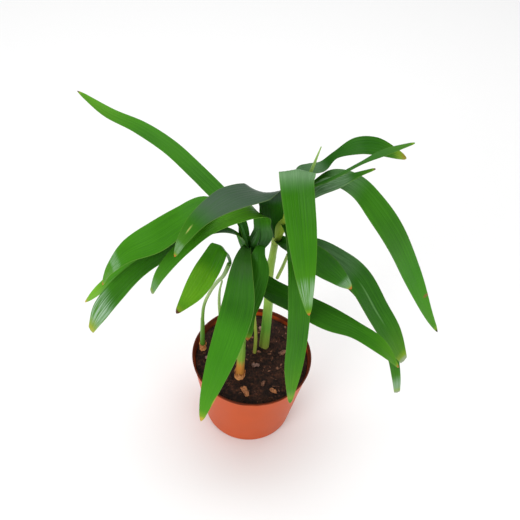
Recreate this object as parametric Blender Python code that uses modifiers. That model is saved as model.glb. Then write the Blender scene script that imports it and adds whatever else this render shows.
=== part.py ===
"""Potted young areca palm: a thin plastic pot of peat with a clump of five
seedlings, whose two-lobed young leaves arch out on all sides.

Metres, +Z up. The origin is the centre of the pot's underside, and -Y is the front.
Sizes below are in millimetres and degrees, and MM turns millimetres into metres.
"""

from collections import namedtuple
from math import cos, pi, radians, sin

import bmesh
import bpy
from mathutils import Matrix, Vector

MM = 0.001

# The pot: a moulded grower's pot, nominally four inches across.
POT_HEIGHT = 80.0
RIM_RADIUS = 52.5
BASE_RADIUS = 39.0
WALL = 1.5
FLOOR = 2.0
RIM_DEPTH = 3.0          # height of the thicker lip
RIM_STEP = 0.6           # how far the lip stands out from the wall
DRAIN_RADIUS = 4.0
DRAIN_RING = 24.0
DRAIN_COUNT = 6
ROUND_STEPS = 64

# The soil: peat, filled to just under the lip.
SOIL_TOP = 74.0
PLANTING_DEPTH = 12.0    # how far the stems stand in the peat

GAP = 0.3                # clearance between pieces that touch
BLADE_THICKNESS = 0.8
BLADE_FOLD = 6.0         # how far each half of a blade is turned up from flat
BLADE_STEPS = 16
TUBE_STEPS = 14
HUSK_HEIGHT = 10.0
HUSK_WALL = 0.7

# A stem or a leaf's axis: its centre line, and its radius from foot to top.
Axis = namedtuple("Axis", "path radii colour")
SOCKET_FOOT = SOIL_TOP - PLANTING_DEPTH

GREEN_STEM = "2f7d1c"
YELLOW_STEM = "a3b53f"
PALE_STEM = "a9bf78"

AXES = {
    "stem_rear": Axis([(10, 15, SOCKET_FOOT), (10, 15, 130), (9, 14, 170), (12, 8, 215)],
                      (4.2, 3.8, 3.4, 3.0), YELLOW_STEM),
    "stem_front": Axis([(-9, -20, SOCKET_FOOT), (-9, -20, 140), (-8, -20, 200), (-9, -20, 232)],
                       (3.4, 3.1, 3.0, 3.4), YELLOW_STEM),
    "stem_left": Axis([(-43, 6, SOCKET_FOOT), (-43, 6, 105), (-44, 4, 140), (-38, 0, 166),
                       (-29, -8, 193)],
                      (2.2, 1.9, 1.6, 1.5, 1.5), PALE_STEM),
    "stem_left_thin": Axis([(-28, 8, SOCKET_FOOT), (-28, 8, 84), (-29, 6, 114), (-31, 3, 142),
                            (-26, 0, 172)],
                           (1.8, 1.7, 1.5, 1.3, 0.8), PALE_STEM),
    "stem_middle_thin": Axis([(2, 6, SOCKET_FOOT), (2, 6, 95), (-1, 2, 135)],
                             (1.6, 1.4, 1.0), YELLOW_STEM),
    "rachis_rear": Axis([(12, 8, 215.6), (17, 6, 243), (23, 7, 261), (27, 8.5, 279)],
                        (2.8, 2.3, 2.0, 1.8), YELLOW_STEM),
    "rachis_right": Axis([(15, 14, 168), (18, 8, 188), (20, 2, 206), (21, -1, 214)],
                         (1.4, 1.4, 1.3, 1.2), PALE_STEM),
    "rachis_left": Axis([(-10.9, -20, 233.2), (-12.5, -19.5, 243), (-14, -18.5, 253),
                         (-15, -17.5, 262)],
                        (1.5, 1.5, 1.4, 1.3), GREEN_STEM),
    "rachis_arched": Axis([(-7.1, -20, 233.2), (-4, -18, 239), (0, -14, 244), (3, -12, 248)],
                          (1.5, 1.5, 1.4, 1.3), GREEN_STEM),
}

# One lobe of a leaf. It leaves its carrier at the share "at" of the carrier's length, "base" wide,
# and its midrib runs through the stations of the path: place in X, Y and Z, then the width there.
# "roll" turns it about its own midrib, at the foot and at the tip.
Lobe = namedtuple("Lobe", "carrier at base path roll")
LEVEL = (0, 0)
LOBES = {
    "leaflet_far_left": Lobe("rachis_left", 1.0, 4, [
        (-21, -12, 269, 7), (-34, -5, 275, 14), (-51, 4, 284, 15), (-72, 16, 294, 13),
        (-94, 29, 299, 12), (-119, 43, 299, 9), (-143, 57, 307, 2)], LEVEL),
    "leaflet_left_broad": Lobe("rachis_left", 0.85, 4, [
        (-23, -23, 278, 8), (-39, -27, 284, 21), (-54, -33, 276, 27), (-72, -40, 264, 28),
        (-91, -47, 250, 23), (-104, -52, 236, 15), (-110, -55, 223, 3)], (0, 5)),
    "leaflet_left_low": Lobe("stem_front", 0.985, 5, [
        (-17, -24, 246, 8), (-37, -32, 257, 15), (-60, -40, 249, 17), (-81, -48, 236, 19),
        (-99, -54, 218, 18), (-113, -59, 197, 15), (-121, -62, 177, 5)], (5, 25)),
    "leaflet_left_narrow": Lobe("stem_front", 0.88, 5, [
        (-28, -22, 242, 8), (-58, -28, 245, 10), (-88, -33, 228, 12), (-113, -37, 203, 11),
        (-129, -41, 184, 2)], LEVEL),
    "leaflet_left_over": Lobe("rachis_rear", 0.2, 8, [
        (8, -3, 257, 14), (6, -7, 273, 20), (-4, -14, 285, 23), (-24, -31, 294, 24),
        (-41, -47, 291, 18), (-52, -58, 280, 9), (-57, -63, 268, 3)], LEVEL),
    "leaflet_left_arched": Lobe("rachis_arched", 1.0, 6, [
        (3, -13, 257, 10), (-4, -19, 267, 11), (-18, -32, 272, 8), (-37, -39, 266, 12),
        (-54, -48, 257, 15), (-67, -59, 245, 12), (-74, -62, 227, 4)], LEVEL),
    "leaflet_left_short": Lobe("stem_left", 1.0, 5, [
        (-29, -9, 207, 12), (-30, -9, 220, 17), (-36, -18, 228, 18), (-43, -28, 217, 20),
        (-51, -39, 205, 18), (-59, -51, 192, 3)], LEVEL),
    "leaflet_front_left": Lobe("stem_front", 0.95, 6, [
        (-13, -39, 232, 17), (-15, -55, 212, 24), (-18, -65, 188, 24), (-24, -75, 165, 20),
        (-31, -85, 136, 12), (-35, -92, 113, 3)], LEVEL),
    "leaflet_front_left_under": Lobe("stem_front", 0.9, 5, [
        (-3, -34, 227, 13), (-5, -44, 217, 15), (-6, -51, 199, 13), (-5, -56, 186, 10),
        (-4, -59, 178, 3)], LEVEL),
    "leaflet_front": Lobe("rachis_rear", 0.62, 7, [
        (20, -2, 272, 13), (20, -4, 290, 22), (20, -8, 302, 25), (23, -20, 298, 24),
        (28, -37, 268, 20), (33, -51, 240, 13), (38, -61, 217, 3)], LEVEL),
    "leaflet_front_under": Lobe("rachis_rear", 0.36, 5, [
        (22, -14, 243, 10), (27, -36, 239, 15), (31, -45, 210, 17), (33, -51, 175, 17),
        (33, -56, 141, 14), (34, -62, 103, 3)], LEVEL),
    "leaflet_right_low": Lobe("stem_front", 0.68, 8, [
        (5, -25, 198, 20), (32, -31, 194, 21), (56, -38, 186, 20), (76, -42, 180, 17),
        (97, -47, 169, 15), (114, -52, 151, 3)], LEVEL),
    "leaflet_right": Lobe("rachis_right", 1.0, 6, [
        (35, -5, 227, 16), (58, -12, 221, 21), (76, -17, 208, 23), (93, -22, 181, 24),
        (108, -26, 157, 20), (123, -30, 130, 7)], (-5, -30)),
    "leaflet_right_short": Lobe("rachis_rear", 0.06, 8, [
        (31, -9, 229, 20), (48, -21, 228, 23), (60, -30, 224, 14), (68, -36, 221, 3)], LEVEL),
    "leaflet_right_under": Lobe("rachis_right", 0.82, 5, [
        (44, -2, 209, 9), (72, -10, 192, 10), (96, -17, 164, 11), (112, -23, 135, 10),
        (121, -28, 106, 8), (126, -29, 83, 5)], (-10, -60)),
    "leaflet_far_right": Lobe("rachis_rear", 0.73, 6, [
        (36, 14, 271, 9), (48, 14, 281, 13), (64, 9, 278, 18), (83, 5, 259, 21),
        (101, 4, 232, 22), (120, 5, 194, 18), (139, 5, 152, 11), (154, 6, 126, 2)], (-15, -50)),
    "leaflet_back_right": Lobe("rachis_rear", 0.98, 4, [
        (36, 20, 282, 8), (47, 26, 293, 10), (60, 29, 300, 15), (77, 36, 295, 15),
        (91, 40, 287, 9), (101, 44, 280, 3)], (0, -30)),
    "leaflet_back_right_narrow": Lobe("rachis_rear", 0.9, 3, [
        (34, 5, 280, 3), (47, 1, 293, 4), (64, 7, 302, 4), (80, 16, 307, 7),
        (100, 23, 312, 2)], LEVEL),
    "leaflet_back_right_small": Lobe("rachis_rear", 0.8, 4, [
        (31, 5, 270, 8), (40, 5, 281, 13), (52, 5, 290, 10), (64, 6, 295, 5),
        (74, 6, 300, 2)], (-30, 0)),
}

# The unopened youngest leaf, a rolled spear at the top of the rear seedling.
SPEAR_PATH = [(27.3, 8.6, 279.8), (30, 10, 290), (35, 12, 309)]
SPEAR_RADII = (1.2, 1.1, 0.4)

# Bark and husk chips on the peat: place in X and Y, length, width, turn.
Chip = namedtuple("Chip", "x y length width turn")
CHIP_HEIGHT = 1.6
CHIPS = [
    Chip(-3, -36, 8, 3.5, -60), Chip(4, -8, 6, 4, 20), Chip(12, -26, 5, 3, 70),
    Chip(21, -33, 6, 3, -30), Chip(-38, -4, 5, 3.5, 10), Chip(27, 8, 7, 4, 35),
    Chip(-16, 26, 6, 3, 120), Chip(8, 34, 7, 3.5, 15), Chip(-30, -24, 5, 3, 80),
    Chip(34, -14, 6, 3, 100),
]

HUSKS = {"husk_left": "stem_left", "husk_front": "stem_front"}


def clear_scene():
    for obj in list(bpy.data.objects):
        bpy.data.objects.remove(obj, do_unlink=True)


def new_collection(name):
    collection = bpy.data.collections.new(name)
    bpy.context.scene.collection.children.link(collection)
    return collection


def to_linear(hex_colour):
    """An sRGB hex colour as linear red, green, blue and alpha."""
    channels = [int(hex_colour[i:i + 2], 16) / 255 for i in (0, 2, 4)]
    linear = [c / 12.92 if c <= 0.04045 else ((c + 0.055) / 1.055) ** 2.4 for c in channels]
    return (*linear, 1.0)


def make_material(name, hex_colour, roughness):
    material = bpy.data.materials.new(name)
    material.use_nodes = True
    shader = material.node_tree.nodes["Principled BSDF"]
    shader.inputs["Base Color"].default_value = to_linear(hex_colour)
    shader.inputs["Roughness"].default_value = roughness
    shader.inputs["Metallic"].default_value = 0.0
    return material


def add_object(name, data, collection, material=None):
    obj = bpy.data.objects.new(name, data)
    collection.objects.link(obj)
    if material is not None:
        data.materials.append(material)
    return obj


def smooth(mesh, angle=35):
    mesh.shade_smooth()
    mesh.set_sharp_from_angle(angle=radians(angle))


def spline_points(path, count):
    """Points of a smooth curve through every point of the path, in millimetres."""
    points = [Vector(p) for p in path]
    points = [2 * points[0] - points[1], *points, 2 * points[-1] - points[-2]]
    spans = len(points) - 3
    smooth_points = []
    for k in range(count + 1):
        place = min(k / count * spans, spans - 1e-9)
        i = int(place)
        t = place - i
        a, b, c, d = points[i:i + 4]
        smooth_points.append(0.5 * (2 * b + (c - a) * t + (2 * a - 5 * b + 4 * c - d) * t ** 2
                                    + (3 * b - a - 3 * c + d) * t ** 3))
    return smooth_points


def blend_list(values, share):
    """The value at a share of the way along an evenly spaced list."""
    place = share * (len(values) - 1)
    i = min(int(place), len(values) - 2)
    return values[i] + (values[i + 1] - values[i]) * (place - i)


def axis_point(axis, share):
    """A point, the direction and the radius of an axis, at a share of its length."""
    points = spline_points(axis.path, 40)
    place = share * 40
    i = min(int(place), 39)
    point = points[i].lerp(points[i + 1], place - i)
    return point, (points[i + 1] - points[i]).normalized(), blend_list(axis.radii, share)


def make_tube(name, path, radii, collection, material):
    """A round tube along a smooth path, its radius changing from foot to top."""
    curve = bpy.data.curves.new(name, "CURVE")
    curve.dimensions = "3D"
    curve.bevel_depth = MM
    curve.bevel_resolution = 2
    curve.use_fill_caps = True
    points = spline_points(path, TUBE_STEPS)
    spline = curve.splines.new("POLY")
    spline.points.add(len(points) - 1)
    for k, (handle, point) in enumerate(zip(spline.points, points)):
        handle.co = (*(point * MM), 1.0)
        handle.radius = blend_list(radii, k / TUBE_STEPS)
    return add_object(name, curve, collection, material)


def turned(name, profile, collection, material):
    """A profile of (radius, height) turned about Z by a Screw modifier, its outer side first."""
    mesh = bpy.data.meshes.new(name)
    bm = bmesh.new()
    verts = [bm.verts.new((r * MM, 0, z * MM)) for r, z in profile]
    for a, b in zip(verts, verts[1:]):
        bm.edges.new((a, b))
    bm.to_mesh(mesh)
    bm.free()
    obj = add_object(name, mesh, collection, material)
    screw = obj.modifiers.new("turn", "SCREW")
    screw.steps = ROUND_STEPS
    screw.render_steps = ROUND_STEPS
    screw.use_merge_vertices = True
    screw.merge_threshold = 0.00001
    screw.use_smooth_shade = True
    return obj


def add_cutter(name, radius, bottom, top, x, y, cutters):
    """A plain round cutter, standing on end."""
    bpy.ops.mesh.primitive_cylinder_add(vertices=16, radius=radius * MM, depth=(top - bottom) * MM,
                                        location=(x * MM, y * MM, (top + bottom) / 2 * MM))
    cutter = bpy.context.object
    cutter.name = name
    for collection in cutter.users_collection:
        collection.objects.unlink(cutter)
    cutters.objects.link(cutter)
    cutter.hide_render = True
    cutter.display_type = "WIRE"
    return cutter


def cut(obj, cutter):
    boolean = obj.modifiers.new(cutter.name, "BOOLEAN")
    boolean.operation = "DIFFERENCE"
    boolean.solver = "EXACT"
    boolean.object = cutter


def wall_radius(height):
    """Outer radius of the pot's plain wall at a height."""
    return BASE_RADIUS + (RIM_RADIUS - RIM_STEP - BASE_RADIUS) * height / POT_HEIGHT


def make_pot(collection, cutters):
    material = make_material("terracotta_plastic", "c95f37", 0.45)
    lip_foot = POT_HEIGHT - RIM_DEPTH
    profile = [
        (RIM_RADIUS - WALL, POT_HEIGHT),
        (RIM_RADIUS - 0.4, POT_HEIGHT),
        (RIM_RADIUS, POT_HEIGHT - 0.6),
        (wall_radius(lip_foot) + RIM_STEP, lip_foot),
        (wall_radius(lip_foot - 1), lip_foot - 1),
        (wall_radius(1.5), 1.5),
        (BASE_RADIUS - 1.5, 0),
        (0, 0),
        (0, FLOOR),
        (wall_radius(FLOOR) - WALL - 1, FLOOR),
        (wall_radius(FLOOR + 1) - WALL, FLOOR + 1),
        (RIM_RADIUS - RIM_STEP - WALL, POT_HEIGHT - 0.6),
        (RIM_RADIUS - WALL, POT_HEIGHT),
    ]
    pot = turned("pot", profile, collection, material)
    for k in range(DRAIN_COUNT):
        angle = 2 * pi * (k + 0.5) / DRAIN_COUNT
        hole = add_cutter(f"drain_cutter_{k + 1}", DRAIN_RADIUS, -1, FLOOR + 1,
                          DRAIN_RING * cos(angle), DRAIN_RING * sin(angle), cutters)
        cut(pot, hole)
    return pot


def make_soil(collection, cutters):
    """The peat, one plug that fills the pot, with a socket for each stem."""
    foot = FLOOR + GAP
    foot_radius = wall_radius(foot) - WALL - GAP - 1
    top_radius = wall_radius(SOIL_TOP) - WALL - GAP
    profile = [(0, SOIL_TOP), (top_radius, SOIL_TOP), (wall_radius(foot + 3) - WALL - GAP, foot + 3),
               (foot_radius, foot), (0, foot)]
    soil = turned("soil", profile, collection, make_material("peat", "2b1b14", 0.95))
    for name, axis in AXES.items():
        if name.startswith("stem"):
            x, y, _ = axis.path[0]
            hole = add_cutter(f"socket_{name}", axis.radii[0] + GAP + 0.15, SOCKET_FOOT - GAP,
                              SOIL_TOP + 1, x, y, cutters)
            cut(soil, hole)
    return soil


def make_chips(collection):
    """Bark chips lying loose on the peat."""
    material = make_material("bark", "8a4e2c", 0.9)
    for number, chip in enumerate(CHIPS, start=1):
        mesh = bpy.data.meshes.new(f"bark_chip_{number}")
        bm = bmesh.new()
        bmesh.ops.create_cube(bm, size=MM)
        bmesh.ops.scale(bm, vec=(chip.length, chip.width, CHIP_HEIGHT), verts=bm.verts)
        bm.to_mesh(mesh)
        bm.free()
        obj = add_object(mesh.name, mesh, collection, material)
        obj.location = Vector((chip.x, chip.y, SOIL_TOP + GAP + CHIP_HEIGHT / 2)) * MM
        obj.rotation_euler.z = radians(chip.turn)
        bevel = obj.modifiers.new("worn_edges", "BEVEL")
        bevel.width = 0.4 * MM
        bevel.segments = 1


def make_husk(name, axis, collection, material):
    """The dry seed husk: a short open sleeve round the foot of a stem."""
    x, y, _ = axis.path[0]
    inner = axis.radii[0] + GAP + 0.2
    foot = SOIL_TOP + GAP
    top = foot + HUSK_HEIGHT
    profile = [(inner, top), (inner + HUSK_WALL, top - 0.4), (inner + HUSK_WALL + 0.8, foot + 3),
               (inner + HUSK_WALL + 0.5, foot), (inner, foot), (inner, top)]
    husk = turned(name, profile, collection, material)
    husk.location = (x * MM, y * MM, 0)
    husk.modifiers["turn"].steps = 20
    husk.modifiers["turn"].render_steps = 20
    return husk


def lobe_stations(lobe):
    """The stations of a lobe, the first of them its foot, just clear of its carrier."""
    point, along, radius = axis_point(AXES[lobe.carrier], lobe.at)
    x, y, _, _ = lobe.path[0]
    toward = Vector((x - point.x, y - point.y, 0)).normalized()
    if lobe.at == 1.0:
        foot = point + along * (GAP + 0.7) + toward * 0.3
    else:
        side = (toward - along * toward.dot(along)).normalized()
        foot = point + side * (radius + GAP + BLADE_THICKNESS / 2 + 0.2)
    return [(*foot, lobe.base), *lobe.path]


def lobe_sections(lobe):
    """Midrib point, side and upward direction, and half width, at each step along a lobe."""
    stations = spline_points(lobe_stations(lobe), BLADE_STEPS)
    points = [station.xyz for station in stations]
    reach = points[-1] - points[0]
    level = Vector((reach.y, -reach.x, 0)).normalized()
    sections = []
    for k, station in enumerate(stations):
        along = (points[min(k + 1, BLADE_STEPS)] - points[max(k - 1, 0)]).normalized()
        side = (level - along * level.dot(along)).normalized()
        roll = Matrix.Rotation(-radians(blend_list(lobe.roll, k / BLADE_STEPS)), 3, along)
        sections.append((points[k], roll @ side, roll @ side.cross(along), station.w / 2))
    return sections


def make_lobe(name, lobe, collection, material):
    """A leaf lobe: a narrow sheet folded a little along its midrib, given its thickness."""
    mesh = bpy.data.meshes.new(name)
    bm = bmesh.new()
    bmesh.ops.create_grid(bm, x_segments=BLADE_STEPS, y_segments=2, size=1)
    sections = lobe_sections(lobe)
    lift = sin(radians(BLADE_FOLD))
    for vert in bm.verts:
        across = vert.co.y
        point, side, up, half_width = sections[round((vert.co.x + 1) / 2 * BLADE_STEPS)]
        vert.co = (point - side * across * half_width + up * abs(across) * half_width * lift) * MM
    bm.to_mesh(mesh)
    bm.free()
    blade = add_object(name, mesh, collection, material)
    thickness = blade.modifiers.new("thickness", "SOLIDIFY")
    thickness.thickness = BLADE_THICKNESS * MM
    thickness.offset = 0
    smooth(mesh, 60)
    return blade


def main():
    clear_scene()
    plant = new_collection("potted_areca_palm")
    cutters = new_collection("cutters")
    make_pot(plant, cutters)
    make_soil(plant, cutters)
    make_chips(plant)
    for name, axis in AXES.items():
        make_tube(name, axis.path, axis.radii, plant, make_material(name, axis.colour, 0.5))
    for name, lobe in LOBES.items():
        make_lobe(name, lobe, plant, make_material(name, "3c8a1c", 0.4))
    make_tube("spear_leaf", SPEAR_PATH, SPEAR_RADII, plant, make_material("spear", "8fbf4a", 0.4))
    husk = make_material("dry_husk", "a9774a", 0.9)
    for name, stem in HUSKS.items():
        make_husk(name, AXES[stem], plant, husk)


main()
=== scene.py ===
"""A potted young areca palm: two-lobed seedling leaves arch out of a plastic nursery pot of peat.

Laid out as a Blender add-on and run as a script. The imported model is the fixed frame: metres, +Z up,
the origin at the centre of the pot's underside, -Y to the front. Lengths in the tables below are
millimetres, and MM turns them into metres.
"""

import random
from collections import namedtuple
from functools import partial
from math import cos, hypot, pi, radians, sin, sqrt, tan

import bpy
from bpy.props import FloatProperty, FloatVectorProperty, IntProperty, PointerProperty
from mathutils import Matrix, Vector, noise


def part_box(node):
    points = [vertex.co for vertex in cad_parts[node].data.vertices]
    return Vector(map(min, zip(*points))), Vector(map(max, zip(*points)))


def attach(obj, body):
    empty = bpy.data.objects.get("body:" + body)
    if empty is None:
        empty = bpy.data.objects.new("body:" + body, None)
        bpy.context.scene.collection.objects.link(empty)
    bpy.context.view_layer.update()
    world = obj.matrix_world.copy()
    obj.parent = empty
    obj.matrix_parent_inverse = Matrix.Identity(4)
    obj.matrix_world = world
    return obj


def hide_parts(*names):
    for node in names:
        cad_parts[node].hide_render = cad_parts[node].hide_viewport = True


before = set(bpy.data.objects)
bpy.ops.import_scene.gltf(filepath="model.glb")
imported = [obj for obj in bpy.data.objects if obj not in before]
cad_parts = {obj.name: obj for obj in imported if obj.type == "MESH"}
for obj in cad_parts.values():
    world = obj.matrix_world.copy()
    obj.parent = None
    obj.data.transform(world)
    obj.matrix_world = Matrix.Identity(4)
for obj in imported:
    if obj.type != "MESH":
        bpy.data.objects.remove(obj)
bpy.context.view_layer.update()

bl_info = {
    "name": "Potted Areca Palm",
    "version": (1, 0, 0),
    "blender": (4, 5, 0),
    "location": "View3D > Sidebar > Palm",
    "description": "Builds the fine surfaces of a potted young areca palm round its fixed frame",
    "category": "Add Mesh",
}

MM = 0.001
BODY = "root"
POT_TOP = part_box("pot")[1]
SOIL_LOW, SOIL_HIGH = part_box("soil")
# clear space between two pieces of the plant, in millimetres
GAP = 0.3


def to_linear(hex_colour):
    """An sRGB hex colour as linear red, green, blue and alpha."""
    channels = [int(hex_colour[i:i + 2], 16) / 255 for i in (0, 2, 4)]
    linear = [c / 12.92 if c <= 0.04045 else ((c + 0.055) / 1.055) ** 2.4 for c in channels]
    return (*linear, 1.0)


# ---------------------------------------------------------------- the plant's tables

# A stem or a leaf's axis. "path" is its centre line, "radii" run from foot to top, "tones" are colours
# at shares of its length, "scars" are the shares where a sheath ends, with the step it leaves, and
# "spread" is how many times wider than thick it is, because a leaf's folded foot clasps its axis.
Axis = namedtuple("Axis", "slot path radii tones scars spread", defaults=[(), None])
# how high the stems' feet stand, in their sockets in the peat
SOCKET_FOOT = 62.0

AXES = {
    "stem_rear": Axis(
        "yellow_stem", [(10, 15, SOCKET_FOOT), (10, 15, 130), (8.4, 14, 170), (10, 8, 215.5)],
        (4.2, 3.8, 3.4, 3.0),
        [(0, "a98a4e"), (0.09, "93b045"), (0.2, "6aa83a"), (0.4, "a0c854"), (0.56, "aecb52"),
         (0.8, "98c245"), (1, "adcd4a")],
        [(0.5, 0.5), (0.86, 0.35)]),
    "stem_front": Axis(
        "yellow_stem", [(-9, -20, SOCKET_FOOT), (-9, -20, 140), (-8, -20, 200), (-9, -20, 232)],
        (3.4, 3.1, 3.0, 3.4),
        [(0, "c98a45"), (0.12, "d8893c"), (0.14, "b8a048"), (0.16, "84ac3a"), (0.4, "5d9432"),
         (0.7, "3f8024"), (1, "2f6d1c")],
        [(0.3, 0.4), (0.62, 0.35)]),
    "stem_left": Axis(
        "pale_stem", [(-44, 6, SOCKET_FOOT), (-44.5, 6, 105), (-43.6, 5, 134), (-38.4, 2, 157),
                      (-33, -1, 173), (-27.5, -4, 186), (-23.5, -7, 203)],
        (2.2, 1.9, 1.6, 1.5, 1.5, 1.7, 2.0),
        [(0, "b48a56"), (0.07, "4f8422"), (0.3, "729e3c"), (0.45, "a6c07a"), (0.85, "a9c286"),
         (1, "7fae4c")],
        [(0.36, 0.55)]),
    "stem_left_thin": Axis(
        "pale_stem", [(-28, 8, SOCKET_FOOT), (-28, 8, 84), (-29, 6.5, 112), (-30.8, 5, 140),
                      (-30.6, 3, 159), (-28.8, 0.5, 174)],
        (1.8, 1.7, 1.5, 1.3, 0.8),
        [(0, "8aa24e"), (0.5, "93b463"), (1, "a8c47c")],
        [(0.45, 0.3)]),
    "stem_middle_thin": Axis(
        "yellow_stem", [(2, 6, SOCKET_FOOT), (2, 6, 95), (-1, 2, 135)],
        (1.6, 1.4, 1.0),
        [(0, "a58a46"), (0.3, "9fae45"), (1, "a9b84c")]),
    "rachis_rear": Axis(
        "yellow_stem", [(10.1, 8, 216), (13.6, 4, 240), (21.5, 7, 261), (27, 8.5, 279)],
        (2.8, 2.6, 2.0, 1.8),
        [(0, "b6d04c"), (0.5, "aac93c"), (1, "3d7d22")],
        spread=(1.1, 1.8, 1.4, 1)),
    "rachis_right": Axis(
        "pale_stem", [(15, 14, 168), (18, 8, 188), (20, 2, 206), (21, -1, 214)],
        (1.4, 1.4, 1.3, 1.2),
        [(0, "b0c968"), (1, "9cc052")],
        spread=(1, 1)),
    "rachis_left": Axis(
        "green_stem", [(-10.9, -20, 233.2), (-13, -19.5, 243), (-15.3, -18.5, 253),
                       (-17, -17.5, 262)],
        (1.5, 1.5, 1.4, 0.8),
        [(0, "2f6d1c"), (1, "2f7420")],
        spread=(1.6, 1.8, 1.6, 1.2)),
    "rachis_arched": Axis(
        "green_stem", [(-7.1, -20, 233.2), (-5.5, -18, 239), (-3.5, -15, 245), (-2.5, -13, 250)],
        (1.5, 1.5, 1.4, 0.8),
        [(0, "2a641a"), (1, "2c6a1c")],
        spread=(1.4, 1.8, 1.6, 1.2)),
}

# Zones along a lobe: the zone's two ends as shares of the lobe, its strength, its colour, and how even
# it is, from 0 (streaks only) to 1. The grey zones are painted sheen and the pale grey-green ones
# painted highlights, where the glossy blade would mirror the light; the dark zone at the foot of
# front_left is painted shade; the bright green over left_arched's arch is painted light on a part that
# lies in shade; the other green zones make a lobe greener, yellower or darker.
ZONES = {
    "left_over": [(0.22, 0.8, 0.85, "445249", 0.75), (0.88, 0.99, 0.35, "a9c2b0", 0.1)],
    "front": [(0.3, 0.6, 0.42, "8ba58a", 0.8), (0.83, 0.98, 0.38, "c0d6c6", 0)],
    "left_low": [(0.74, 1, 0.52, "c0d6c6", 0.05)],
    "left_broad": [(0.765, 0.85, 0.38, "c0d6c6", 0)],
    "left_narrow": [(0.78, 1.1, 0.5, "86c428", 0.8)],
    "right_short": [(0.74, 1.02, 0.4, "a9c2b0", 0.3)],
    "far_right": [(0.18, 0.42, 0.25, "8ba58a", 0.6), (0.62, 1.1, 0.3, "3f9414", 0.9)],
    "back_right_small": [(0.05, 0.75, 0.45, "8ba58a", 0.4)],
    "back_right": [(0.05, 0.45, 0.4, "6f8a70", 0.7)],
    "back_right_narrow": [(0.3, 1.1, 0.6, "305a24", 0.6)],
    "right_under": [(0.82, 1.1, 0.5, "a9c2b0", 0.6)],
    # left_arched: painted sheen at the foot, painted light over the arch, darker green below it, a
    # painted highlight at the tip
    "left_arched": [(0, 0.3, 0.25, "6f8474", 0.6), (0.34, 0.66, 0.65, "78cc34", 0.7),
                    (0.7, 1.1, 0.35, "2f6a20", 0.8), (0.9, 1.1, 0.3, "a9c2b0", 0.3)],
    "left_short": [(0.05, 0.3, 0.35, "8ba58a", 0.5), (0.6, 0.99, 0.4, "86c428", 0.7)],
    # front_left: painted shade at the foot, then a brighter green
    "front_left": [(-0.1, 0.42, 0.45, "2c3f22", 0.9), (0.5, 1.1, 0.3, "4aa018", 0.9)],
    "right": [(0.15, 0.5, 0.2, "8ba58a", 0.6)],
    "front_under": [(0.92, 1.05, 0.12, "a9c2b0", 0.3)],
}

# Small marks: how far along and across the lobe, their half length and half width as shares, and their
# colour. Most are dry or bruised spots; the long one on "right" is a painted highlight along the crease
# of its midrib.
MARKS = {
    "far_right": (0.826, 0.86, 0.006, 0.3, "8a5030"),
    "left_over": (0.82, 0.42, 0.03, 0.06, "a9b060"),
    "front_left": (0.88, 1, 0.035, 0.08, "b8a040"),
    # a painted highlight along the midrib's crease
    "right": (0.62, 0.5, 0.15, 0.05, "5c8a4c"),
}

# One lobe of a leaf. It leaves its carrier at the share "at" of the carrier's length, "base" wide, and
# its midrib runs through the stations of the path: place in X, Y and Z, then the width there. "tip" is
# the colour of the dry tip and the share that it takes, and "tone" is how far the lobe is from the dark
# green (0) to the bright one (1). "roll" turns it about its own midrib and "fold" is how far each half
# is turned up from flat, both in degrees from foot to tip. "wave" is its edges' ruffle in millimetres,
# and "blunt" is 1 where the tip is blunt.
FLAT = (46, 14, 4, 3, 3, 4, 6, 8)
CREASED = (44, 16, 12, 12, 12, 11, 10, 8)
CROWNED = (46, 4, -16, -12, 0, 4, 6, 8)
Lobe = namedtuple("Lobe", "carrier at base path tip tone roll fold wave blunt",
                  defaults=[(0, 0), FLAT, 0.3, 0])
STRAW, RUST, UMBER, BLACK, PALE, GREEN = "b9a23a", "b5692f", "5a3620", "2a1c12", "8f9f7a", "4f8f2a"
OLIVE, OCHRE = "9aa436", "8a8226"

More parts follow.
